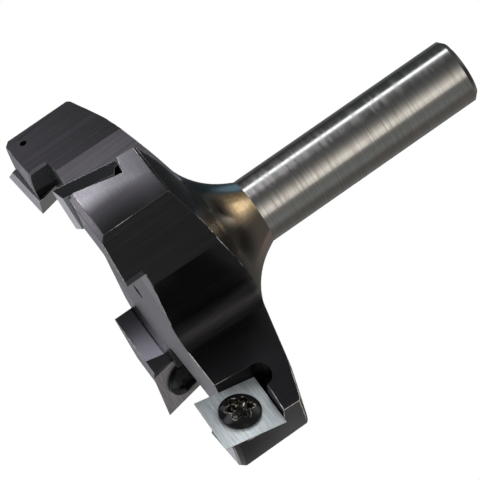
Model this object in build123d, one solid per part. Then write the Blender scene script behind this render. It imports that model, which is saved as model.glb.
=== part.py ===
from build123d import *
import math
import os

# A surfacing router bit: a steel cutter body with its shank, four square
# carbide inserts on four wings, and one screw through each insert.
# Frame: +Z runs up the shank, and Z = 0 is the plane the inserts cut in.
# Wing 1 points along +X. The bit cuts clockwise seen from above.

# Driving dimensions, in millimetres and degrees

wings = 4

cut_d = 76.2               # 3 inch circle, run by the inserts' lower outer corners

# shank and neck
shank_d = 12.7             # half inch, gripped by the collet
overall_h = 76.3           # cutting plane to the end of the shank
shank_end_chamfer = 0.9
neck_spread = 3.85         # the neck's cone ends this far outside the shank
neck_slope = 1.9           # fall of the neck for each millimetre outwards
neck_fillet = 15.0         # sweeps the neck into the crown of the head

# turned head
rim_inset = 0.6            # the rim runs this far inside the cutting circle
rim_top_z = 15.5           # upper edge of the head at its rim
rim_edge = 0.5             # that edge is broken by this much
crown_outer_w = 7.5        # the crown falls faster this near its edge
crown_outer_slope = 0.333  # fall there for each millimetre outwards
crown_slope = 0.243        # fall of the rest of the crown
land_z = 1.5               # underside of the rim, above the cutting plane
land_w = 9.5               # its width, from the rim to the hollow
rim_chamfer = 1.0          # along the lower edge of the rim
recess_z = 5.3             # ceiling of the shallow turned hollow
centre_hole_d = 3.0        # lathe centre left in the ceiling of the hollow
centre_hole_depth = 2.4

# wings, seen from above with the wing pointing along +X, in shares of the head's radius
rake_inner = (0.693, 0.0133)   # two points that the face ahead of the insert runs through
rake_outer = (1.0, 0.0587)
back_outer = (0.9227, 0.352)   # back of the wing at the rim
back_ridge = (0.536, 0.4373)   # ridge where the back turns in to the gullet
back_flat_start = 0.267        # the back's outer flat is milled from inside the ridge
gullet_wall = 0.384            # inner wall of the gullet, beside the next wing's foot

# the gullet's cutter, in millimetres and degrees
gullet_fillet = 4.5        # its radius
gullet_tilt = 5.0          # it leans back with the insert
gullet_plan_z = 9.0        # height at which the wing's plan holds for it

# square inserts
insert_side = 12.0
insert_t = 1.7
insert_bevel = 35.0        # relief angle of all four flanks
insert_lag = 1.1           # how far the cutting corner trails the wing's centre line
rake_angle = 14.0          # top of the insert trails its cutting edge
dish_angle = 3.0           # cutting edge rises towards the axis
insert_hole_d = 4.4
insert_sink_d = 6.6        # countersink in the rake face

# pocket for the insert
pocket_side_gap = 0.1      # clearance to the insert's inner edge
pocket_top_gap = 0.2       # and to its upper edge
relief_r = 2.5             # cutter of the corner relief, run along the inner wall
relief_rise = 1.95         # how far the relief goes past the upper wall

# screws, and the holes tapped for them
thread_d = 4.0
thread_gap = 0.05          # all round, in the tapped hole
drill_d = 3.3              # tapping drill, flat ended
drill_short = 0.7          # its axis stops this short of the wing's back
tap_short = 0.8            # the tapped part ends this far before the drilled part
screw_end_gap = 0.5        # from the screw's tip to the end of the tapped part
vent_wing = 3              # on this wing a small hole leads on to the wing's back
vent_d = 1.3
vent_z = 4.4               # its height above the cutting plane
vent_length = 3.0          # from inside the drilled hole to the back
screw_tip_chamfer = 0.5
screw_head_d = 7.7
screw_head_rim = 0.7       # straight rim of the head
screw_top_d = 4.3          # flat round the recess
screw_top_z = 1.9
drive_points = 6           # the recess is a star of two equal polygons
drive_d = 3.7              # over its points
drive_depth = 1.6
sink_gap = 0.05            # clearance of the screw's cone in the countersink

# Worked out from the above

shank_r = shank_d / 2
cut_r = cut_d / 2
head_r = cut_r - rim_inset
recess_r = head_r - land_w
wing_step = 360 / wings
reach = cut_d              # longer than anything a cutter has to pass through
gamma = math.radians(rake_angle)
delta = math.radians(dish_angle)


def wing_place(i):
    """Rotation about the shank that carries wing 1 to wing i."""
    return Rot(0, 0, -wing_step * i)


def insert_plane():
    """Plane of wing 1's insert: origin at the lower outer corner, x outwards
    along the cutting edge, y up the outer edge, z ahead of the rake face."""
    outwards = Vector(1, 0, 0)
    upwards = Vector(0, math.sin(gamma), math.cos(gamma))
    ahead = outwards.cross(upwards)
    along_edge = outwards * math.cos(delta) - upwards * math.sin(delta)
    corner = Vector(cut_r, insert_lag, 0)
    return Plane(origin=corner, x_dir=along_edge, z_dir=ahead)


def insert_centre():
    """Middle of the insert's rake face, as a location on the insert plane."""
    return Pos(-insert_side / 2, insert_side / 2, 0)


def band_edge():
    """Point of the crown, as radius and height, where its fall changes."""
    r = head_r - rim_edge - crown_outer_w
    return (r, rim_top_z + rim_edge + crown_outer_slope * crown_outer_w)


def crown_z(r):
    """Height of the crown's inner part at a radius."""
    edge_r, edge_z = band_edge()
    return edge_z + crown_slope * (edge_r - r)


def turned_blank():
    """The blank as it leaves the lathe: head, flared neck and shank."""
    rim_low = (head_r, land_z + rim_chamfer)
    rim_high = (head_r, rim_top_z)
    crown_start = (head_r - rim_edge, rim_top_z + rim_edge)
    foot_r = shank_r + neck_spread
    foot = (foot_r, crown_z(foot_r))
    neck_top = (shank_r, crown_z(foot_r) + neck_slope * neck_spread)
    shank_edge = (shank_r, overall_h - shank_end_chamfer)
    end_edge = (shank_r - shank_end_chamfer, overall_h)
    with BuildSketch() as profile:
        with BuildLine():
            Polyline(
                (0, recess_z),
                (recess_r, recess_z),
                (recess_r, land_z),
                (head_r - rim_chamfer, land_z),
                rim_low,
                rim_high,
                crown_start,
                band_edge(),
                foot,
                neck_top,
                shank_edge,
                end_edge,
                (0, overall_h),
                close=True,
            )
        make_face()
        fillet(profile.vertices().sort_by_distance(foot)[0], neck_fillet)
    blank = revolve(Plane.XZ * profile.sketch, Axis.Z)
    drill = Pos(0, 0, recess_z) * Cone(
        centre_hole_d / 2, 0, centre_hole_depth, align=(Align.CENTER, Align.CENTER, Align.MIN)
    )
    return blank - drill


def plan_point(shares):
    """A point of the wing's plan, from its shares of the head's radius."""
    return (shares[0] * head_r, shares[1] * head_r)


def line_at(first, second, u):
    """Point where the line through two plan points reaches first coordinate u."""
    slope = (second[1] - first[1]) / (second[0] - first[0])
    return (u, first[1] + slope * (u - first[0]))


def rake_at(u):
    return line_at(plan_point(rake_inner), plan_point(rake_outer), u)


def back_at(u):
    return line_at(plan_point(back_outer), plan_point(back_ridge), u)


def from_wing_before(point):
    """A plan point on the wing before, carried into wing 1's plan."""
    return (point[1], -point[0])


def gullet():
    """Chip space ahead of wing 1: a slot milled by a cutter that leans back with
    the insert, and the flat that thins the back of the wing before."""
    corner = rake_at(gullet_wall * head_r)
    ridge = from_wing_before(plan_point(back_ridge))
    wall_slope = (ridge[0] - corner[0]) / (ridge[1] - corner[1])
    wall_far = (corner[0] + wall_slope * (-reach - corner[1]), -reach)
    lean = math.radians(gullet_tilt)
    cutter_plane = Plane(
        origin=(0, 0, gullet_plan_z), x_dir=(1, 0, 0), z_dir=(0, math.sin(lean), math.cos(lean))
    )
    with BuildSketch() as plan:
        with BuildLine():
            Polyline(rake_at(reach), corner, wall_far, (reach, -reach), close=True)
        make_face()
        fillet(plan.vertices().sort_by_distance(corner)[0], gullet_fillet)
    slot = extrude(cutter_plane * plan.sketch, overall_h / 2, both=True)
    flat_start = from_wing_before(back_at(back_flat_start * head_r))
    flat_end = from_wing_before(back_at(reach))
    flat = make_face(Polyline(flat_start, flat_end, (reach, -reach), (reach, flat_start[1]), close=True))
    return slot + extrude(flat, overall_h / 2)


def pocket():
    """Seat of the insert: an open corner milled square to the insert, with a
    round relief where its two walls meet."""
    low = Align.MIN
    high = Align.MAX
    inner = insert_side + pocket_side_gap
    upper = insert_side + pocket_top_gap
    ahead = insert_side / 2
    walls = Pos(-inner, upper, -insert_t) * Box(reach, reach, insert_t + ahead, align=(low, high, low))
    relief = Pos(relief_r - inner, upper + relief_rise - relief_r, -insert_t) * Cylinder(
        relief_r, insert_t + ahead, align=(Align.CENTER, Align.CENTER, low)
    )
    return insert_plane() * (walls + relief)


def drill_depth():
    """Depth of the drilled hole from the seat, which follows the wing's thickness."""
    seat_lag = insert_lag + insert_side / 2 * math.sin(gamma) + insert_t * math.cos(gamma)
    back_lag = back_at(cut_r - insert_side / 2)[1]
    return (back_lag - seat_lag) / math.cos(gamma) - drill_short


def tapped_hole():
    """Hole for the insert screw, drilled and tapped from the seat."""
    down = (Align.CENTER, Align.CENTER, Align.MAX)
    tapped = Cylinder(thread_d / 2 + thread_gap, drill_depth() - tap_short, align=down)
    drilled = Cylinder(drill_d / 2, drill_depth(), align=down)
    return insert_plane() * insert_centre() * Pos(0, 0, -insert_t) * (tapped + drilled)


def vent():
    """Small hole from the end of a screw hole to the back of its wing."""
    out_r, back_lag = back_at(cut_r - insert_side / 2)
    along_lag = Plane(origin=(out_r, back_lag - vent_length, vent_z), z_dir=(0, 1, 0))
    return along_lag * Cylinder(vent_d / 2, reach, align=(Align.CENTER, Align.CENTER, Align.MIN))


def cutter_body():
    blank = turned_blank()
    for i in range(wings):
        blank -= wing_place(i) * gullet()
    for i in range(wings):
        blank -= wing_place(i) * pocket()
        blank -= wing_place(i) * tapped_hole()
    return blank - wing_place(vent_wing - 1) * vent()


def square_insert():
    """Square insert with its flanks relieved all round, a hole and a
    countersink, its rake face on the insert plane."""
    plate = extrude(Rectangle(insert_side, insert_side), -insert_t, taper=insert_bevel)
    hole = Cylinder(insert_hole_d / 2, 3 * insert_t)
    sink_r = insert_sink_d / 2
    sink_depth = (insert_sink_d - insert_hole_d) / 2
    sink = Cone(
        insert_hole_d / 2, sink_r, sink_depth, align=(Align.CENTER, Align.CENTER, Align.MAX)
    )
    return insert_plane() * insert_centre() * (plate - hole - sink)


def insert_screw():
    """Round-headed screw with a star recess, its cone seated in the insert."""
    thread_r = thread_d / 2
    cone_r = insert_sink_d / 2 - sink_gap
    tip_z = -(insert_t + drill_depth() - tap_short - screw_end_gap)
    with BuildSketch() as profile:
        with BuildLine():
            Polyline(
                (0, screw_top_z),
                (screw_top_d / 2, screw_top_z),
                (screw_head_d / 2, screw_head_rim),
                (screw_head_d / 2, sink_gap),
                (cone_r, sink_gap),
                (thread_r, sink_gap - (cone_r - thread_r)),
                (thread_r, tip_z + screw_tip_chamfer),
                (thread_r - screw_tip_chamfer, tip_z),
                (0, tip_z),
                close=True,
            )
        make_face()
    screw = revolve(Plane.XZ * profile.sketch, Axis.Z)
    corners = drive_points // 2
    star = RegularPolygon(drive_d / 2, corners)
    star += Rot(0, 0, 360 / drive_points) * star
    screw -= Pos(0, 0, screw_top_z - drive_depth) * extrude(star, 2 * drive_depth)
    return insert_plane() * insert_centre() * screw


def write(solid, name):
    export_step(solid, f"parts/{name}.step")


os.makedirs("parts", exist_ok=True)
write(cutter_body(), "cutter_body")
for i in range(wings):
    write(wing_place(i) * square_insert(), f"insert_{i + 1}")
    write(wing_place(i) * insert_screw(), f"insert_screw_{i + 1}")
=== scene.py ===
import math

import bmesh
import bpy
from mathutils import Matrix, Vector


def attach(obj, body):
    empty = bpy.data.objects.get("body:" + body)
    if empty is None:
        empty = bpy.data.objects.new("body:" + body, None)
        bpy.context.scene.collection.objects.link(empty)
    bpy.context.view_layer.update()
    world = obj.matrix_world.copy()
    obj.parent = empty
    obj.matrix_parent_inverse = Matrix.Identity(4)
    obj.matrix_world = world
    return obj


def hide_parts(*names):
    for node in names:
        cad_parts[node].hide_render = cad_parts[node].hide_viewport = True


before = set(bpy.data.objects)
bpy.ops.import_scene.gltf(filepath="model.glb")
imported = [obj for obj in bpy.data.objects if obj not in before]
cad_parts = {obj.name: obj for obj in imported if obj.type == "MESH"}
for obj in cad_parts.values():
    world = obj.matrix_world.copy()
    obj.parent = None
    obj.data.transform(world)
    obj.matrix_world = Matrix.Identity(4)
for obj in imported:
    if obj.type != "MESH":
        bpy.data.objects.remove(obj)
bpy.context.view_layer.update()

MM = 0.001    # a millimetre, in metres
WINGS = 4

# Sizes shared with the part's source, in mm and degrees
CUT_R = 38.1
INSERT_SIDE = 12.0
INSERT_LAG = 1.1    # how far the cutting corner trails the wing's radius
RAKE = 14.0
DISH = 3.0
NECK_TOP = 30.5

# Edges of the CAD copies, in mm and degrees
WELD = 0.002
FLAT_TURN = 0.4    # neighbours that turn less than this are one flat face
FACET_TURN = 3.0
FACET_WIDTH = 3.2    # the facets of a curved face are narrower than this
SHARP_TURN = 20.0
BEVEL_FACE = 0.35    # a bevelled edge's faces are wider, and the edge longer, than these
BEVEL_LENGTH = 0.4
BODY_BEVEL = 0.10
INSERT_BEVEL = 0.06

# Faces of the body that get a material of their own, in mm
END_R = (36.9, 37.7)    # the wings' outer ends lie between these radii
POCKET_REACH = 9.0    # a pocket's walls lie within this of the insert's centre
POCKET_DEPTH = (-4.0, 6.0)    # and between these heights over its rake face
RIM_R = 34.0    # outer faces beyond this radius keep the head's material
UNDERSIDE = 8.0    # and so do downward faces lower than this

# Cosines: how nearly a face has to look outwards, down or ahead of the insert
END_FACING = 0.98
RIM_FACING = 0.6
AHEAD_FACING = 0.5
RAKE_FACING = 0.99

# Azimuths where each finish, painted shade and painted reflection begins, is full, is last full, and ends
WING_1 = (-30.0, -24.0, 30.0, 34.0)
WING_2 = (-150.0, -140.0, -60.0, -50.0)
WING_1_TIP_REFLECTION = (4.0, 9.0, 28.0, 36.0)
WING_4_RECESS_REFLECTION = (88.0, 96.0, 108.0, 122.0)
STRAW_REFLECTION_SIDE = (-98.0, -88.0, -60.0, -36.0)
BLUED_SIDE = (-178.0, -150.0, -98.0, -88.0)

# Radii and heights where a finish, and the painted reflection at wing 1's tip, begins and is full, in mm
NECK_R = (18.5, 14.0)
NECK_FOOT = (20.8, 22.6)
SHANK_FOOT = (NECK_TOP - 0.04, NECK_TOP + 0.04)
RECESS_WALL_R = (27.2, 27.6, 28.7, 28.9)
RECESS_WALL_TOP = (5.2, 5.0)
FILLET_R = (19.5, 16.5)
TIP_REFLECTION_R = (28.5, 32.5)
TIP_REFLECTION_TOP = (1.9, 1.7)

# Material slots of the body, an insert and a screw
HEAD, EDGE, END, POCKET_SHADE = range(4)
FLANK, FACE, RIM = range(3)
SKIN, RECESS = range(2)


class Tree:
    """Short calls for building a node tree."""

    def __init__(self, node_tree):
        self.node_tree = node_tree
        node_tree.nodes.clear()

    def node(self, kind, **props):
        n = self.node_tree.nodes.new(kind)
        for key, value in props.items():
            setattr(n, key, value)
        return n

    def link(self, a, b):
        self.node_tree.links.new(a, b)

    def put(self, socket, value):
        if isinstance(value, bpy.types.NodeSocket):
            self.link(value, socket)
        else:
            socket.default_value = value

    def math(self, operation, *values):
        n = self.node("ShaderNodeMath", operation=operation)
        for socket, value in zip(n.inputs, values):
            self.put(socket, value)
        return n.outputs[0]

    def times(self, product, *factors):
        for factor in factors:
            product = self.math("MULTIPLY", product, factor)
        return product

    def add_to(self, base, value, factor):
        return self.math("MULTIPLY_ADD", value, factor, base)

    def blend(self, share, a, b):
        """A number between a and b."""
        return self.math("MULTIPLY_ADD", self.math("SUBTRACT", b, a), share, a)

    def mix(self, share, a, b):
        """A colour between a and b."""
        n = self.node("ShaderNodeMix", data_type="RGBA")
        self.put(n.inputs["Factor"], share)
        for socket, value in ((n.inputs[6], a), (n.inputs[7], b)):
            self.put(socket, (*value, 1.0) if isinstance(value, tuple) else value)
        return n.outputs[2]

    def span(self, value, low, high, out_low=0.0, out_high=1.0, smooth=True):
        """From out_low to out_high while the value goes from low to high."""
        n = self.node("ShaderNodeMapRange", interpolation_type="SMOOTHSTEP" if smooth else "LINEAR")
        self.put(n.inputs["Value"], value)
        n.inputs["From Min"].default_value = low
        n.inputs["From Max"].default_value = high
        n.inputs["To Min"].default_value = out_low
        n.inputs["To Max"].default_value = out_high
        return n.outputs["Result"]

    def between(self, value, start, full, last_full, end):
        """One between the two middle values, and nothing outside the outer two."""
        return self.times(self.span(value, start, full), self.span(value, end, last_full))

    def coords(self, scale=(1.0, 1.0, 1.0)):
        place = self.node("ShaderNodeTexCoord")
        mapping = self.node("ShaderNodeMapping")
        self.link(place.outputs["Object"], mapping.inputs["Vector"])
        mapping.inputs["Scale"].default_value = scale
        return mapping.outputs[0]

    def polar(self, pos):
        """A point's distance from the axis in mm, its azimuth in degrees, and its height in mm."""
        xyz = self.node("ShaderNodeSeparateXYZ")
        self.link(pos, xyz.inputs[0])
        x, y, z = xyz.outputs
        r = self.math("SQRT", self.math("ADD", self.times(x, x), self.times(y, y)))
        azimuth = self.times(self.math("ARCTAN2", y, x), math.degrees(1.0))
        return self.times(r, 1 / MM), azimuth, self.times(z, 1 / MM)

    def noise(self, pos, scale, detail=4.0, rough=0.55):
        n = self.node("ShaderNodeTexNoise")
        self.link(pos, n.inputs["Vector"])
        n.inputs["Scale"].default_value = scale
        n.inputs["Detail"].default_value = detail
        n.inputs["Roughness"].default_value = rough
        return n.outputs["Fac"]

    def streaks(self, flat, upright, detail, rough=0.55):
        """Noise with one scale across the axis and another along it, for lines and rings."""
        return self.noise(self.coords((flat, flat, upright)), 1.0, detail, rough)

    def bump(self, height, strength, depth_mm):
        n = self.node("ShaderNodeBump")
        n.inputs["Strength"].default_value = strength
        n.inputs["Distance"].default_value = depth_mm * MM
        self.link(height, n.inputs["Height"])
        return n.outputs["Normal"]


def new_mat(name, shader="ShaderNodeBsdfPrincipled"):
    """A material of one shader: the material, its tree, the shader and the output."""
    mat = bpy.data.materials.new(name)
    mat.use_nodes = True
    t = Tree(mat.node_tree)
    out = t.node("ShaderNodeOutputMaterial")
    b = t.node(shader)
    t.link(b.outputs[0], out.inputs[0])
    return mat, t, b, out


def insert_frame(i):
    """Insert i's own frame: x outwards along the cutting edge, y up, z ahead of the rake face."""
    rake, dish = math.radians(RAKE), math.radians(DISH)
    outwards = Vector((1, 0, 0))
    upwards = Vector((0, math.sin(rake), math.cos(rake)))
    ahead = outwards.cross(upwards)
    along = outwards * math.cos(dish) - upwards * math.sin(dish)
    up_edge = ahead.cross(along)
    corner = Vector((CUT_R, INSERT_LAG, 0))
    centre = corner - along * INSERT_SIDE / 2 + up_edge * INSERT_SIDE / 2
    place = Matrix.Translation(centre * MM) @ Matrix((along, up_edge, ahead)).transposed().to_4x4()
    return Matrix.Rotation(math.radians(-360 / WINGS * i), 4, "Z") @ place


def link_new(name, me):
    ob = bpy.data.objects.new(name, me)
    bpy.context.scene.collection.objects.link(ob)
    return ob


def mesh_from(bm, name):
    me = bpy.data.meshes.new(name)
    bm.to_mesh(me)
    bm.free()
    return me


def cad_copy(name, node):
    """A fresh object that starts from a CAD node's own shape. Its doubled corners are welded.
    Its real edges stay sharp: those that turn by more than a curved face's own facets do, and
    the shallow ones between two flat faces. Outer edges get a weight, which the bevel follows."""
    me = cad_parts[node].data.copy()
    me.name = name
    ob = link_new(name, me)
    bm = bmesh.new()
    bm.from_mesh(me)
    bmesh.ops.remove_doubles(bm, verts=bm.verts, dist=WELD * MM)
    bmesh.ops.dissolve_limit(
        bm, angle_limit=math.radians(FLAT_TURN), verts=bm.verts, edges=bm.edges, delimit=set()
    )
    weight = bm.edges.layers.float.new("bevel_weight_edge")
    width = {f: f.calc_area() / max(e.calc_length() for e in f.edges) / MM for f in bm.faces}
    for e in bm.edges:
        e.smooth = True
        if len(e.link_faces) != 2:
            continue
        turn = math.degrees(e.calc_face_angle(0.0))
        narrow = min(width[f] for f in e.link_faces)
        if turn > SHARP_TURN or (narrow > FACET_WIDTH and turn > FACET_TURN):
            e.smooth = False
            wide_enough = narrow > BEVEL_FACE and e.calc_length() > BEVEL_LENGTH * MM
            if e.is_convex and turn > SHARP_TURN and wide_enough:
                e[weight] = 1.0
    for f in bm.faces:
        f.smooth = True
    bm.to_mesh(me)
    bm.free()
    for layer in list(me.uv_layers):
        me.uv_layers.remove(layer)
    me.materials.clear()
    return ob


def soften_edges(ob, width_mm, edge_material):
    """A narrow bevel on the weighted edges, with the flat faces kept flat."""
    bevel = ob.modifiers.new("bevel", "BEVEL")
    bevel.width = width_mm * MM
    bevel.segments = 2
    bevel.limit_method = "WEIGHT"
    bevel.use_clamp_overlap = False
    bevel.miter_outer = "MITER_SHARP"
    bevel.material = edge_material
    flat = ob.modifiers.new("flat", "WEIGHTED_NORMAL")
    flat.mode = "FACE_AREA"
    flat.weight = 90
    flat.keep_sharp = True
    dg = bpy.context.evaluated_depsgraph_get()
    me = bpy.data.meshes.new_from_object(ob.evaluated_get(dg), preserve_all_data_layers=True, depsgraph=dg)
    ob.modifiers.clear()
    ob.data = me


def round_ends(ob):
    """True round shading on the wings' outer ends, which are cut from few flat facets."""
    me = ob.data
    inner, outer = END_R
    normals = [corner.vector.copy() for corner in me.corner_normals]
    for face in me.polygons:
        outwards = Vector((face.center.x, face.center.y, 0)).normalized()
        if face.material_index != HEAD or face.normal.dot(outwards) < END_FACING:
            continue
        points = [me.vertices[me.loops[k].vertex_index].co for k in face.loop_indices]
        if not all(inner < math.hypot(p.x, p.y) / MM < outer for p in points):
            continue
        face.material_index = END
        for k, p in zip(face.loop_indices, points):
            normals[k] = Vector((p.x, p.y, 0)).normalized()
    me.normals_split_custom_set(normals)


def mark_pockets(ob):
    """The walls round each insert, which the light hardly reaches, get the pocket's painted shade."""
    lowest, highest = POCKET_DEPTH
    for i in range(WINGS):
        to_insert = insert_frame(i).inverted()
        ahead = insert_frame(i).to_3x3() @ Vector((0, 0, 1))
        for face in ob.data.polygons:
            place = to_insert @ face.center / MM
            near = max(abs(place.x), abs(place.y)) <= POCKET_REACH and lowest < place.z < highest
            if face.material_index != HEAD or not near:
                continue
            flat = Vector((face.center.x, face.center.y, 0))
            outer = flat.length > RIM_R * MM and face.normal.dot(flat.normalized()) > RIM_FACING
            under = face.center.z < UNDERSIDE * MM and face.normal.z < -RIM_FACING
            if face.normal.dot(ahead) < AHEAD_FACING and not outer and not under:
                face.material_index = POCKET_SHADE


# Materials


def steel_body():
    """Dark satin head, heat-tinted neck and ground bright shank of one piece of steel, with painted reflections
    on the neck and the head.
    """
    mat, t, b, _ = new_mat("steel_body")
    pos = t.coords()
    r, azimuth, z = t.polar(pos)
    mottled = t.noise(pos, 120.0, 5.0)
    fine = t.noise(pos, 1500.0, 4.0, 0.6)
    rings = t.streaks(45.0, 5200.0, 4.0, 0.6)
    turn = t.add_to(azimuth, t.math("SUBTRACT", mottled, 0.5), 8.0)
    shank = t.span(z, *SHANK_FOOT)
    neck = t.times(t.span(r, *NECK_R), t.span(z, *NECK_FOOT))
    turned = t.math("MAXIMUM", shank, neck)

    # heat colours of the neck: straw on one side of its top, steel blue on another, brown between. The straw
    # patch also stands in for a warm reflection there, so it is partly painted reflection
    patchy = t.add_to(t.math("ADD", z, -0.9), mottled, 1.8)
    straw_tint_and_reflection = t.mix(t.span(fine, 0.3, 0.7), (0.56, 0.41, 0.22), (0.66, 0.52, 0.33))
    brown = t.mix(t.span(patchy, 23.0, 28.5), (0.20, 0.185, 0.165), (0.40, 0.345, 0.30))
    straw_reflection_side = t.times(t.between(turn, *STRAW_REFLECTION_SIDE), t.span(patchy, 24.2, 27.2))
    warm = t.mix(straw_reflection_side, brown, straw_tint_and_reflection)
    cool = t.mix(t.span(z, 23.5, 30.0), (0.10, 0.13, 0.16), (0.34, 0.44, 0.50))
    neck_col = t.mix(t.between(turn, *BLUED_SIDE), warm, cool)

    # shank: ground rings, with browner marks between them
    shank_col = t.mix(t.span(rings, 0.3, 0.7), (0.52, 0.51, 0.49), (0.64, 0.63, 0.61))
    drawn = t.streaks(75.0, 1500.0, 5.0, 0.7)
    shank_col = t.mix(t.span(drawn, 0.48, 0.68, 0.0, 0.55), shank_col, (0.46, 0.42, 0.375))

    # head: blackened, with a few rusty specks, and milling lines up and down the wings' sides
    head_col = t.mix(mottled, (0.052, 0.050, 0.053), (0.076, 0.073, 0.078))
    speck = t.span(t.noise(pos, 900.0, 6.0, 0.7), 0.66, 0.74, 0.0, 0.6)
    head_col = t.mix(speck, head_col, (0.16, 0.13, 0.10))
    lines = t.streaks(1700.0, 30.0, 4.0, 0.65)
    head_col = t.mix(t.span(lines, 0.46, 0.70, 0.0, 0.38), head_col, (0.115, 0.111, 0.118))

    # the turned wall of the recess under the head is barer; on wing 4 it is painted lighter still, as painted
    # reflection
    bare = t.times(t.between(r, *RECESS_WALL_R), t.span(z, *RECESS_WALL_TOP))
    bare_and_reflection_col = t.mix(t.between(turn, *WING_4_RECESS_REFLECTION), (0.15, 0.145, 0.16), (0.46, 0.45, 0.50))
    head_col = t.mix(bare, head_col, bare_and_reflection_col)

    # painted reflection: wing 1's underside is painted bright at its tip
    painted_tip = t.times(t.between(turn, *WING_1_TIP_REFLECTION), t.span(z, *TIP_REFLECTION_TOP), t.span(r, *TIP_REFLECTION_R))
    head_col = t.mix(painted_tip, head_col, (0.80, 0.82, 0.84))

    t.link(t.mix(shank, t.mix(neck, head_col, neck_col), shank_col), b.inputs["Base Color"])
    b.inputs["Metallic"].default_value = 1.0

    rough = t.add_to(t.add_to(0.185, mottled, 0.06), fine, 0.05)
    rough = t.add_to(rough, bare, 0.28)
    rough = t.add_to(rough, t.span(r, *FILLET_R), 0.16)
    ground = t.add_to(t.add_to(0.045, rings, 0.10), t.span(drawn, 0.42, 0.66), 0.09)
    ground = t.add_to(ground, neck, 0.06)
    t.link(t.blend(turned, rough, ground), b.inputs["Roughness"])
    milled = t.add_to(t.times(lines, 0.25), fine, 0.7)
    t.link(t.bump(t.blend(turned, milled, rings), 0.16, 0.02), b.inputs["Normal"])
    return mat


def worn_edge():
    """Edges rubbed bright in places, with the dark finish left between."""
    mat, t, b, _ = new_mat("worn_edge")
    pos = t.coords()
    _, azimuth, z = t.polar(pos)
    worn = t.span(t.noise(pos, 95.0, 3.0), 0.46, 0.63)
    worn = t.times(worn, t.span(t.noise(pos, 700.0, 8.0, 0.75), 0.30, 0.58))
    # wing 1's lower rim isn't rubbed
    fresh = t.times(t.between(azimuth, *WING_1), t.span(z, 4.8, 4.0))
    worn = t.times(worn, t.math("SUBTRACT", 1.0, fresh))
    t.link(t.mix(worn, (0.062, 0.060, 0.064), (0.84, 0.80, 0.74)), b.inputs["Base Color"])
    b.inputs["Metallic"].default_value = 0.55
    t.link(t.add_to(0.32, worn, 0.10), b.inputs["Roughness"])
    return mat


def steel_end():
    """The wings' turned outer ends: the dark finish is thinner there, with a fine grain."""
    mat, t, b, _ = new_mat("steel_end")
    pos = t.coords()
    _, azimuth, z = t.polar(pos)
    mottled = t.noise(pos, 130.0, 5.0)
    grain = t.noise(pos, 2600.0, 5.0, 0.7)
    rings = t.streaks(120.0, 3600.0, 4.0, 0.6)
    col = t.mix(t.span(mottled, 0.3, 0.7), (0.245, 0.240, 0.253), (0.330, 0.324, 0.340))
    col = t.mix(t.span(grain, 0.50, 0.72, 0.0, 0.4), col, (0.43, 0.42, 0.44))
    # painted shade: wing 2's end is darker towards the crown and on its trailing side, wing 1's towards its tip
    crown = t.span(z, 3.0, 15.0, 0.0, 0.60, smooth=False)
    trailing = t.times(t.span(azimuth, -81.8, -75.8), t.span(z, 15.0, 6.0, 0.72, 0.92))
    painted_shade = t.times(t.between(azimuth, *WING_2), t.math("MAXIMUM", crown, trailing))
    painted_tip = t.times(t.between(azimuth, *WING_1), t.span(z, 4.0, 13.0, 0.72, 0.10, smooth=False))
    col = t.mix(t.math("ADD", painted_shade, painted_tip), col, (0.040, 0.039, 0.042))
    t.link(col, b.inputs["Base Color"])
    b.inputs["Metallic"].default_value = 1.0
    t.link(t.add_to(t.add_to(0.14, mottled, 0.06), grain, 0.10), b.inputs["Roughness"])
    t.link(t.bump(t.math("ADD", grain, rings), 0.15, 0.02), b.inputs["Normal"])
    return mat


def steel_pocket_shade():
    """Painted shade on the walls round an insert: nearly black, with a few rusty specks."""
    mat, t, b, _ = new_mat("steel_pocket_shade")
    pos = t.coords()
    rusty = t.span(t.noise(pos, 700.0, 6.0, 0.75), 0.58, 0.70)
    t.link(t.mix(rusty, (0.018, 0.017, 0.017), (0.11, 0.075, 0.045)), b.inputs["Base Color"])
    b.inputs["Metallic"].default_value = 0.8
    t.link(t.add_to(0.38, rusty, 0.20), b.inputs["Roughness"])
    t.link(t.bump(t.noise(pos, 1500.0), 0.2, 0.02), b.inputs["Normal"])
    return mat


def carbide():
    """The flanks of an insert."""
    mat, t, b, _ = new_mat("carbide")
    soft = t.noise(t.coords(), 300.0)
    lines = t.streaks(200.0, 7000.0, 3.0)
    t.link(t.mix(soft, (0.31, 0.32, 0.33), (0.41, 0.42, 0.43)), b.inputs["Base Color"])
    b.inputs["Metallic"].default_value = 1.0
    t.link(t.add_to(0.12, lines, 0.12), b.inputs["Roughness"])
    t.link(t.bump(lines, 0.2, 0.01), b.inputs["Normal"])
    return mat


def carbide_face(name, metallic, level):
    """The ground rake face of an insert: fine level lines, and painted shade that makes it darker towards its
    upper edge.
    """
    mat, t, b, _ = new_mat(name)
    pos = t.coords()
    _, _, z = t.polar(pos)
    lines = t.streaks(200.0, 8500.0, 5.0, 0.65)
    painted_shade_height = t.add_to(t.math("ADD", z, -2.0), t.noise(pos, 260.0), 4.0)
    lined = t.mix(t.span(lines, 0.40, 0.62), (0.58, 0.66, 0.70), (0.93, 0.96, 0.97))
    scaled = t.node("ShaderNodeVectorMath", operation="SCALE")
    t.link(lined, scaled.inputs[0])
    t.link(t.times(t.span(painted_shade_height, 2.0, 10.5, 1.02, 0.56), level), scaled.inputs["Scale"])
    t.link(scaled.outputs[0], b.inputs["Base Color"])
    b.inputs["Metallic"].default_value = metallic
    t.link(t.add_to(0.26, lines, 0.15), b.inputs["Roughness"])
    t.link(t.bump(lines, 0.45, 0.01), b.inputs["Normal"])
    return mat


def ground_edge():
    """The bright line of an insert's ground edge."""
    mat, t, b, _ = new_mat("ground_edge")
    soft = t.noise(t.coords(), 900.0)
    t.link(t.mix(soft, (0.30, 0.31, 0.31), (0.66, 0.66, 0.65)), b.inputs["Base Color"])
    b.inputs["Metallic"].default_value = 0.5
    t.link(t.add_to(0.28, soft, 0.10), b.inputs["Roughness"])
    return mat


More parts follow.
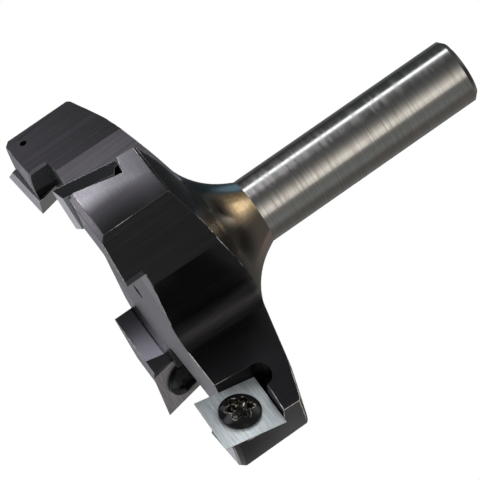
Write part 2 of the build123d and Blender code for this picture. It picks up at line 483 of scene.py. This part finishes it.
def screw_black():
    """Glossy black screw, a little uneven."""
    mat, t, b, _ = new_mat("screw_black")
    pos = t.coords()
    soft = t.noise(pos, 900.0)
    t.link(t.mix(soft, (0.007, 0.007, 0.008), (0.014, 0.014, 0.015)), b.inputs["Base Color"])
    b.inputs["Metallic"].default_value = 0.0
    b.inputs["Specular IOR Level"].default_value = 0.12
    b.inputs["Coat Weight"].default_value = 0.28
    b.inputs["Coat Roughness"].default_value = 0.035
    t.link(t.add_to(0.08, soft, 0.10), b.inputs["Roughness"])
    t.link(t.bump(t.noise(pos, 2200.0, 3.0), 0.25, 0.02), b.inputs["Normal"])
    return mat


def screw_worn():
    """The walls of the recess, rubbed by the driver."""
    mat, t, b, _ = new_mat("screw_worn")
    pos = t.coords()
    patches = t.span(t.noise(pos, 1300.0, 5.0, 0.7), 0.42, 0.60)
    t.link(t.mix(patches, (0.016, 0.016, 0.016), (0.50, 0.47, 0.41)), b.inputs["Base Color"])
    b.inputs["Metallic"].default_value = 1.0
    t.link(t.add_to(0.12, patches, 0.10), b.inputs["Roughness"])
    t.link(t.bump(t.noise(pos, 2600.0, 3.0), 0.35, 0.04), b.inputs["Normal"])
    return mat


# Cutter body

body = cad_copy("body_dressed", "cutter_body")
for mat in (steel_body(), worn_edge(), steel_end(), steel_pocket_shade()):
    body.data.materials.append(mat)
soften_edges(body, BODY_BEVEL, EDGE)
round_ends(body)
mark_pockets(body)
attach(body, "root")
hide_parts("cutter_body")

# Inserts. The last one reflects a darker part of the studio, as bare metal, and its face colour is turned down a
# little as painted shade.

GROUND_DEPTH = 0.2    # how far below the rake plane an edge still shines, in mm

flank_mat = carbide()
face_mat = carbide_face("carbide_face", 0.35, 1.0)
face_mat_bare_shaded = carbide_face("carbide_face_bare_shaded", 1.0, 0.85)
rim_mat = ground_edge()
for i in range(WINGS):
    piece = cad_copy(f"insert_dressed_{i + 1}", f"insert_{i + 1}")
    for mat in (flank_mat, face_mat_bare_shaded if i == WINGS - 1 else face_mat, rim_mat):
        piece.data.materials.append(mat)
    soften_edges(piece, INSERT_BEVEL, RIM)
    ahead = insert_frame(i).to_3x3() @ Vector((0, 0, 1))
    to_insert = insert_frame(i).inverted()
    for face in piece.data.polygons:
        if face.material_index == FLANK and face.normal.dot(ahead) > RAKE_FACING:
            face.material_index = FACE
        if face.material_index == RIM and (to_insert @ face.center).z < -GROUND_DEPTH * MM:
            face.material_index = FLANK
    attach(piece, "root")
    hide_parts(f"insert_{i + 1}")

# Screws, in mm from the insert's rake face

SCREW_STEPS = 96    # corners of each ring
SCREW_TURNS = (14, 47, 5, 31)    # how far each was driven, in degrees
SMOOTH_BELOW = 40    # edges that turn less than this look round, in degrees
HEAD_R = 3.85
HEAD_RIM = 0.7
DOME = 1.2
HEAD_TOP = HEAD_RIM + DOME
LOBES = 6
LOBE_R = 2.24
LOBE_SWING = 0.42
RECESS_FLOOR = HEAD_TOP - 1.7

# Each ring is a share of the recess's lobed outline, a radius added to it, and a height
RECESS_RINGS = (
    (0.0, 0.35, RECESS_FLOOR - 0.30), (0.45, 0.0, RECESS_FLOOR - 0.10), (0.86, 0.0, RECESS_FLOOR),
    (0.90, 0.0, RECESS_FLOOR + 0.08), (0.95, 0.0, HEAD_TOP - 0.62),
)
# here the height is measured from the dome
DOME_RINGS = (
    (0.97, 0.0, -0.20), (1.0, 0.0, -0.10), (1.0, 0.06, -0.03), (1.0, 0.14, 0.01), (1.0, 0.24, 0.0),
    (0.7, 1.086, 0.0), (0.4, 1.932, 0.0), (0.0, 3.14, 0.0), (0.0, 3.30, 0.0), (0.0, 3.46, 0.0),
    (0.0, 3.60, 0.0), (0.0, 3.72, -0.01),
)
# the head's side, its cone and the threaded end
LOWER_RINGS = (
    (0.0, 3.81, HEAD_RIM - 0.02), (0.0, HEAD_R, HEAD_RIM - 0.14), (0.0, HEAD_R, 0.20), (0.0, 3.80, 0.10),
    (0.0, 3.70, 0.05), (0.0, 3.25, 0.05), (0.0, 2.0, -1.2), (0.0, 2.0, -9.0), (0.0, 1.5, -9.5),
)
RECESS_ROWS = range(1, 9)    # the recess's walls and its rounded rim


def dome_height(r):
    big = (HEAD_R ** 2 + DOME ** 2) / (2 * DOME)
    return HEAD_TOP - big + math.sqrt(big * big - r * r)


def screw_mesh(name):
    """Domed head with a six-lobe recess, its rim and its cone, made ring by ring."""
    bm = bmesh.new()
    rings = []
    for on_dome, table in ((False, RECESS_RINGS), (True, DOME_RINGS), (False, LOWER_RINGS)):
        for share, added, height in table:
            row = []
            for k in range(SCREW_STEPS):
                a = 2 * math.pi * k / SCREW_STEPS
                r = share * (LOBE_R + LOBE_SWING * math.cos(LOBES * a)) + added
                h = height + dome_height(r) if on_dome else height
                row.append(bm.verts.new((r * math.cos(a) * MM, r * math.sin(a) * MM, h * MM)))
            rings.append(row)
    for row, (lower, upper) in enumerate(zip(rings, rings[1:])):
        for k in range(SCREW_STEPS):
            j = (k + 1) % SCREW_STEPS
            face = bm.faces.new((lower[k], lower[j], upper[j], upper[k]))
            face.material_index = RECESS if row in RECESS_ROWS else SKIN
            face.smooth = True
    for cap in (list(reversed(rings[0])), rings[-1]):
        bm.faces.new(cap).smooth = True
    bmesh.ops.recalc_face_normals(bm, faces=bm.faces)
    return mesh_from(bm, name)


skin_mat = screw_black()
worn_mat = screw_worn()
for i in range(WINGS):
    me = screw_mesh(f"screw_dressed_{i + 1}")
    me.transform(insert_frame(i) @ Matrix.Rotation(math.radians(SCREW_TURNS[i]), 4, "Z"))
    me.materials.append(skin_mat)
    me.materials.append(skin_mat if i == WINGS - 1 else worn_mat)
    me.set_sharp_from_angle(angle=math.radians(SMOOTH_BELOW))
    me.update()
    ob = link_new(f"screw_dressed_{i + 1}", me)
    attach(ob, "root")
    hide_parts(f"insert_screw_{i + 1}")

# Studio. Its round wall and ceiling show in the metal only, and light nothing.

FLOOR_SIDE = 8.0
WALL_R = 1.3
WALL_STEPS = 96
WALL_FOOT = -4.0
CEILING = 1.2
CAMERA_SIDE = -52.7    # the camera's azimuth

COOL = (0.93, 0.98, 1.0)
PLAIN = (0.97, 1.0, 0.98)
WARM = (1.0, 0.95, 0.88)
VIOLET = (0.95, 0.93, 1.0)
BLUE = (0.72, 0.94, 1.0)
ROSE = (1.0, 0.80, 0.80)

# Each band of the wall: degrees from the camera's side, level, tint
DEEP = (
    (-180, 0.90, VIOLET), (-166, 0.90, VIOLET), (-156, 0.30, PLAIN), (-100, 0.20, PLAIN), (-60, 0.12, PLAIN),
    (-20, 0.10, PLAIN), (20, 0.10, PLAIN), (70, 0.10, VIOLET), (84, 0.60, VIOLET), (92, 4.60, VIOLET),
    (112, 4.60, VIOLET), (122, 0.60, VIOLET), (150, 0.50, VIOLET), (180, 0.90, VIOLET),
)
BELOW = (
    (-180, 0.84, VIOLET), (-166, 0.84, VIOLET), (-156, 0.32, PLAIN), (-135, 0.20, PLAIN), (-100, 0.30, PLAIN),
    (-88, 1.00, COOL), (-74, 1.00, COOL), (-60, 0.24, PLAIN), (-34, 0.20, PLAIN), (-15, 0.08, COOL),
    (9, 0.04, COOL), (36, 0.06, VIOLET), (44, 2.20, VIOLET), (62, 2.20, VIOLET), (70, 0.08, VIOLET),
    (110, 0.15, VIOLET), (150, 0.60, VIOLET), (180, 0.84, VIOLET),
)
LOW = (
    (-180, 0.08, VIOLET), (-150, 0.14, PLAIN), (-120, 0.16, PLAIN), (-95, 0.18, PLAIN), (-79, 0.32, PLAIN),
    (-48, 0.20, PLAIN), (-37, 0.20, WARM), (-33, 0.45, WARM), (-20, 0.50, WARM), (-8, 0.30, WARM),
    (6, 0.20, PLAIN), (20, 0.11, PLAIN), (36, 0.30, VIOLET), (43, 0.90, VIOLET), (48, 3.20, VIOLET),
    (60, 3.20, VIOLET), (64, 2.70, VIOLET), (84, 1.40, VIOLET), (95, 1.20, VIOLET), (106, 1.20, VIOLET),
    (116, 0.04, COOL), (150, 0.06, PLAIN), (180, 0.08, VIOLET),
)
MIDDLE = (
    (-180, 0.10, PLAIN), (-150, 0.20, PLAIN), (-120, 0.13, WARM), (-95, 0.11, WARM), (-75, 0.22, PLAIN),
    (-48, 0.18, PLAIN), (-38, 0.26, WARM), (-33, 1.00, WARM), (-20, 1.25, WARM), (-8, 0.75, WARM),
    (6, 0.30, WARM), (20, 0.13, PLAIN), (35, 0.09, PLAIN), (48, 0.05, COOL), (60, 0.09, COOL), (68, 0.25, COOL),
    (73, 0.80, COOL), (76, 2.60, COOL), (82, 2.60, COOL), (86, 0.06, COOL), (110, 0.05, COOL), (130, 0.04, COOL),
    (150, 0.18, COOL), (180, 0.10, PLAIN),
)
HIGH = (
    (-180, 0.05, WARM), (-152, 0.20, WARM), (-122, 0.30, ROSE), (-102, 0.30, ROSE), (-90, 0.12, PLAIN),
    (0, 0.10, PLAIN), (55, 0.05, PLAIN), (66, 0.16, COOL), (71, 1.10, COOL), (86, 1.10, COOL), (92, 0.15, COOL),
    (104, 0.10, BLUE), (114, 0.34, BLUE), (138, 0.30, BLUE), (152, 0.06, BLUE), (180, 0.03, COOL),
)
TOP_LEVEL = 10.0
# over these heights in mm, each band takes over from the one below
BANDS = (((-1700, -1300), BELOW), ((-300, -80), LOW), ((105, 185), MIDDLE), ((340, 550), HIGH))

# Lamps: azimuth, elevation, width, height in m, power in W
LAMP_DISTANCE = 1.1
LAMP_AIM = Vector((0, 0, 0.03))
LAMPS = {
    "left_strip": (-128, 22, 0.5, 0.8, 7.0),
    "right_box": (-29, 25, 0.8, 0.8, 1.0),
    "overhead": (130, 68, 0.6, 0.6, 5.0),
}

# The camera fitted to the photograph: its directions and place, in m
LENS = 262.6
CAMERA_RIGHT = Vector((0.51887, 0.26157, 0.81385))
CAMERA_DOWN = Vector((0.60772, 0.55670, -0.56637))
CAMERA_FORWARD = Vector((-0.60121, 0.78846, 0.12989))
CAMERA_PLACE = Vector((0.378707, -0.492036, -0.055692))


def floor_mat():
    """Pale floor, clear from below."""
    mat, t, b, out = new_mat("floor_white")
    t.link(t.mix(t.noise(t.coords(), 9.0, 3.0), (0.80, 0.80, 0.80), (0.83, 0.83, 0.83)), b.inputs["Base Color"])
    b.inputs["Roughness"].default_value = 0.8
    side = t.node("ShaderNodeNewGeometry")
    clear = t.node("ShaderNodeBsdfTransparent")
    both = t.node("ShaderNodeMixShader")
    for socket, output in zip(both.inputs, (side.outputs["Backfacing"], b.outputs[0], clear.outputs[0])):
        t.link(output, socket)
    t.link(both.outputs[0], out.inputs[0])
    return mat


def by_direction(t, around, levels):
    """A colour ramp through the levels of one band."""
    ramp = t.node("ShaderNodeValToRGB")
    t.link(t.math("MULTIPLY_ADD", around, 1 / 360, 0.5), ramp.inputs[0])
    points = ramp.color_ramp.elements
    points[0].position = 0.0
    points[1].position = 1.0
    for k, (deg, level, tint) in enumerate(levels):
        if k == 0:
            point = points[0]
        elif k == len(levels) - 1:
            point = points[len(points) - 1]
        else:
            point = points.new((deg + 180) / 360)
        point.color = (*(level / TOP_LEVEL * c for c in tint), 1.0)
    return ramp.outputs[0]


def wall_mat():
    """Bright and dark stretches of the studio's wall."""
    mat, t, glow, _ = new_mat("studio_wall", "ShaderNodeEmission")
    _, azimuth, z = t.polar(t.coords())
    around = t.math("WRAP", t.math("SUBTRACT", CAMERA_SIDE, azimuth), 180.0, -180.0)
    seen = by_direction(t, around, DEEP)
    for heights, levels in BANDS:
        seen = t.mix(t.span(z, *heights), seen, by_direction(t, around, levels))
    t.link(seen, glow.inputs["Color"])
    glow.inputs["Strength"].default_value = TOP_LEVEL
    return mat


def ceiling_mat():
    """A bright round patch on the camera's side. Distances are in m."""
    mat, t, glow, _ = new_mat("studio_ceiling", "ShaderNodeEmission")
    pos = t.coords()

    def away(x, y):
        n = t.node("ShaderNodeVectorMath", operation="DISTANCE")
        t.link(pos, n.inputs[0])
        n.inputs[1].default_value = (x, y, CEILING)
        return n.outputs["Value"]

    # dim behind the bit, then the patch's wide glow and its core
    patch = away(-0.18, -0.46)
    level = t.span(away(-0.25, 0.35), 0.30, 0.90, 0.042, 0.14)
    level = t.math("ADD", level, t.span(patch, 0.75, 0.30, 0.0, 0.28))
    level = t.math("ADD", level, t.span(patch, 0.42, 0.10, 0.0, 0.95))
    glow.inputs["Color"].default_value = (1.0, 0.97, 0.93, 1.0)
    t.link(level, glow.inputs["Strength"])
    return mat


def stage_piece(name, bm, mat):
    me = mesh_from(bm, name)
    me.materials.append(mat)
    ob = link_new(name, me)
    return ob


def circle(bm, height):
    turns = [2 * math.pi * k / WALL_STEPS for k in range(WALL_STEPS)]
    return [bm.verts.new((WALL_R * math.cos(a), WALL_R * math.sin(a), height)) for a in turns]


bm = bmesh.new()
half = FLOOR_SIDE / 2
bm.faces.new([bm.verts.new((x * half, y * half, 0)) for x, y in ((-1, -1), (1, -1), (1, 1), (-1, 1))])
floor = stage_piece("floor", bm, floor_mat())
floor.visible_glossy = False

bm = bmesh.new()
foot, head = circle(bm, WALL_FOOT), circle(bm, CEILING)
for k in range(WALL_STEPS):
    j = (k + 1) % WALL_STEPS
    bm.faces.new((foot[j], foot[k], head[k], head[j]))
wall = stage_piece("studio_wall", bm, wall_mat())

bm = bmesh.new()
bm.faces.new(circle(bm, CEILING))
ceiling = stage_piece("studio_ceiling", bm, ceiling_mat())

for ob in (wall, ceiling):
    ob.visible_camera = False
    ob.visible_diffuse = False
    ob.visible_shadow = False
    ob.visible_transmission = False

world = bpy.data.worlds.new("studio")
bpy.context.scene.world = world
world.use_nodes = True
t = Tree(world.node_tree)
world_out = t.node("ShaderNodeOutputWorld")
background = t.node("ShaderNodeBackground")
path = t.node("ShaderNodeLightPath")
seen = t.math("MAXIMUM", path.outputs["Is Camera Ray"], path.outputs["Is Glossy Ray"])
seen = t.math("MAXIMUM", seen, path.outputs["Is Transmission Ray"])
background.inputs["Color"].default_value = (1, 1, 1, 1)
t.link(t.add_to(0.55, seen, 0.45), background.inputs["Strength"])
t.link(background.outputs[0], world_out.inputs[0])

for name, (azimuth, elevation, width, height, power) in LAMPS.items():
    light = bpy.data.lights.new(name, "AREA")
    light.shape = "RECTANGLE"
    light.size = width
    light.size_y = height
    light.energy = power
    a, e = math.radians(azimuth), math.radians(elevation)
    towards = Vector((math.cos(a) * math.cos(e), math.sin(a) * math.cos(e), math.sin(e)))
    ob = link_new(name, light)
    ob.location = LAMP_AIM + towards * LAMP_DISTANCE
    ob.rotation_euler = (-towards).to_track_quat("-Z", "Y").to_euler()
    ob.visible_camera = False
    ob.visible_glossy = False

cam_data = bpy.data.cameras.new("camera")
cam_data.sensor_width = 36.0
cam_data.lens = LENS
cam_data.clip_start = 0.01
cam_data.clip_end = 50.0
cam_data.dof.use_dof = False
cam = link_new("camera", cam_data)
axes = Matrix((CAMERA_RIGHT, -CAMERA_DOWN, -CAMERA_FORWARD)).transposed()
cam.matrix_world = Matrix.Translation(CAMERA_PLACE) @ axes.to_4x4()
bpy.context.scene.camera = cam

bpy.context.scene.view_settings.view_transform = "Standard"
